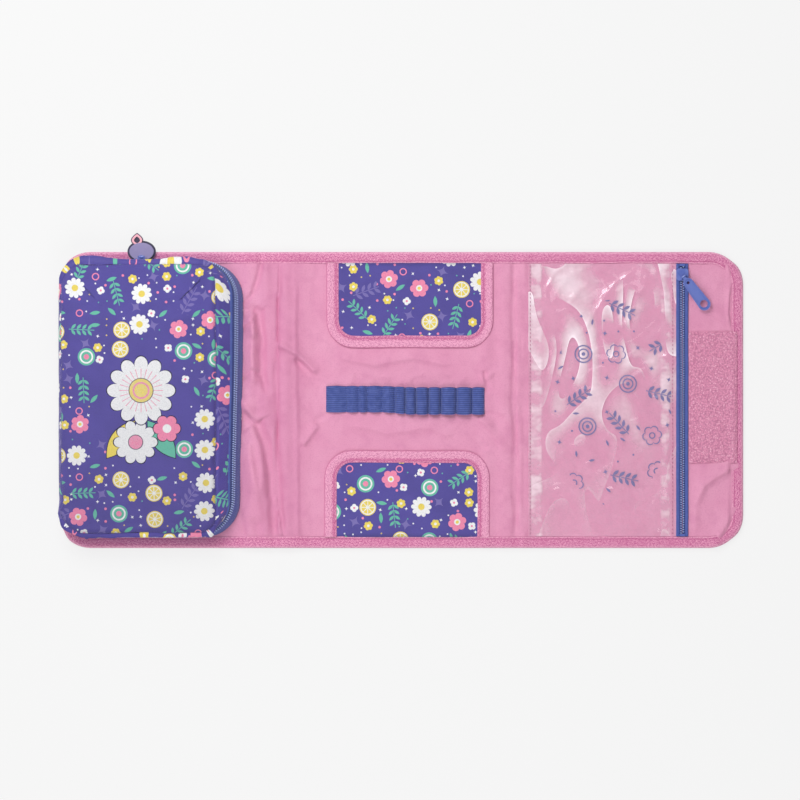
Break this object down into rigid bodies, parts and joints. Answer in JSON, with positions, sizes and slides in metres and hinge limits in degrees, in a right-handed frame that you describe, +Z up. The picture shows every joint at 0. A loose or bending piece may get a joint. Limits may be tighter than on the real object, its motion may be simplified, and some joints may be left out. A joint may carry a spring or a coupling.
{
  "type": "expandable pencil case",
  "caption": "Fold-out cloth pencil case: a zipped pouch, a centre panel with pockets and pencil loops, and a flap with a clear zipped pocket that wraps round and closes.",
  "frame": {"origin": "middle of the open case, on the flat underside that it rests on", "axes": "+X along the open case from the pouch to the flap, +Y across it towards the charm, +Z up"},
  "size_m": [0.506, 0.233, 0.0271],
  "materials": {
    "satin_lining": "satin weave with soft sheen",
    "grosgrain_binding": "ribbed binding tape",
    "printed_cloth": "printed polyester",
    "stiff_board": "hidden board",
    "soft_foam": "hidden foam",
    "blue_elastic": "ribbed elastic webbing",
    "blue_tape": "woven zip tape",
    "blue_coil": "nylon zip coil",
    "blue_enamel": "enamelled zinc",
    "clear_film": "clear soft film",
    "hook_tape": "hook fastening tape",
    "loop_tape": "loop fastening tape",
    "charm_dark": "soft moulded, matt",
    "charm_lilac": "soft moulded, matt",
    "charm_pink": "soft moulded, matt"
  },
  "bodies": {
    "centre": {"centre_outer_fabric": "printed_cloth", "centre_board": "stiff_board", "centre_lining": "satin_lining", "centre_binding": "grosgrain_binding", "upper_pocket_panel": "printed_cloth", "upper_pocket_binding": "grosgrain_binding", "lower_pocket_panel": "printed_cloth", "lower_pocket_binding": "grosgrain_binding", "pencil_elastic": "blue_elastic"},
    "left_spine": {"left_spine_outer_fabric": "printed_cloth", "left_spine_foam": "soft_foam", "left_spine_lining": "satin_lining", "left_spine_binding": "grosgrain_binding"},
    "pouch": {"pouch_outer_fabric": "printed_cloth", "pouch_board": "stiff_board", "pouch_lining": "satin_lining", "pouch_binding": "grosgrain_binding", "loop_patch": "loop_tape", "pouch_lower_wall": "printed_cloth", "pouch_lower_zip_tape": "blue_tape", "pouch_lower_zip_coil": "blue_coil", "pouch_zip_stops": "blue_enamel"},
    "lid": {"pouch_front_cover": "printed_cloth", "pouch_cover_lining": "satin_lining", "pouch_upper_wall": "printed_cloth", "pouch_upper_zip_tape": "blue_tape", "pouch_upper_zip_coil": "blue_coil"},
    "pouch_slider": {"pouch_zip_slider": "blue_enamel"},
    "charm": {"charm_backing": "charm_dark", "charm_disc": "charm_lilac", "charm_leaf": "charm_pink", "charm_link": "charm_dark"},
    "right_spine": {"right_spine_outer_fabric": "printed_cloth", "right_spine_foam": "soft_foam", "right_spine_lining": "satin_lining", "right_spine_binding": "grosgrain_binding", "clear_pocket_margin": "clear_film"},
    "flap": {"flap_outer_fabric": "printed_cloth", "flap_board": "stiff_board", "flap_lining": "satin_lining", "flap_binding": "grosgrain_binding", "clear_pocket_sheet": "clear_film", "flap_zip_tape_left": "blue_tape", "flap_zip_tape_right": "blue_tape", "flap_zip_coil_left": "blue_coil", "flap_zip_coil_right": "blue_coil", "flap_zip_stops": "blue_enamel", "hook_patch": "hook_tape"},
    "flap_slider": {"flap_zip_slider": "blue_enamel"},
    "pull_tab": {"pull_tab": "blue_enamel"}
  },
  "joints": [
    {"name": "left_fold", "type": "hinge", "parent": "centre", "child": "left_spine", "pos_m": [-0.076, 0, 0.0026], "axis": [0, 1, 0], "range_deg": [0, 90]},
    {"name": "pouch_fold", "type": "hinge", "parent": "left_spine", "child": "pouch", "pos_m": [-0.107, 0, 0.0026], "axis": [0, 1, 0], "range_deg": [0, 90]},
    {"name": "right_fold", "type": "hinge", "parent": "centre", "child": "right_spine", "pos_m": [0.072, 0, 0.0026], "axis": [0, -1, 0], "range_deg": [0, 90]},
    {"name": "flap_fold", "type": "hinge", "parent": "right_spine", "child": "flap", "pos_m": [0.111, 0, 0.0026], "axis": [0, -1, 0], "range_deg": [0, 90]},
    {"name": "lid_hinge", "type": "hinge", "parent": "pouch", "child": "lid", "pos_m": [-0.2523, 0, 0.014], "axis": [0, 1, 0], "range_deg": [-165, 0]},
    {"name": "pouch_zip_slide", "type": "slide", "parent": "pouch", "child": "pouch_slider", "axis": [1, 0, 0], "range_m": [-0.03, 0.035]},
    {"name": "charm_swing", "type": "hinge", "parent": "pouch_slider", "child": "charm", "pos_m": [-0.1906, 0.10567, 0.011], "axis": [-1, 0, 0], "range_deg": [-85, 0]},
    {"name": "flap_zip_slide", "type": "slide", "parent": "flap", "child": "flap_slider", "axis": [0, 1, 0], "range_m": [-0.185, 0]},
    {"name": "pull_tab_swing", "type": "hinge", "parent": "flap_slider", "child": "pull_tab", "pos_m": [0.2098, 0.0911, 0.0065], "axis": [0.7986, 0.6018, 0], "range_deg": [-150, 0]}
  ],
  "couplings": [
    {"joint": "pouch_fold", "follows": "left_fold", "ratio": 1},
    {"joint": "flap_fold", "follows": "right_fold", "ratio": 1}
  ]
}
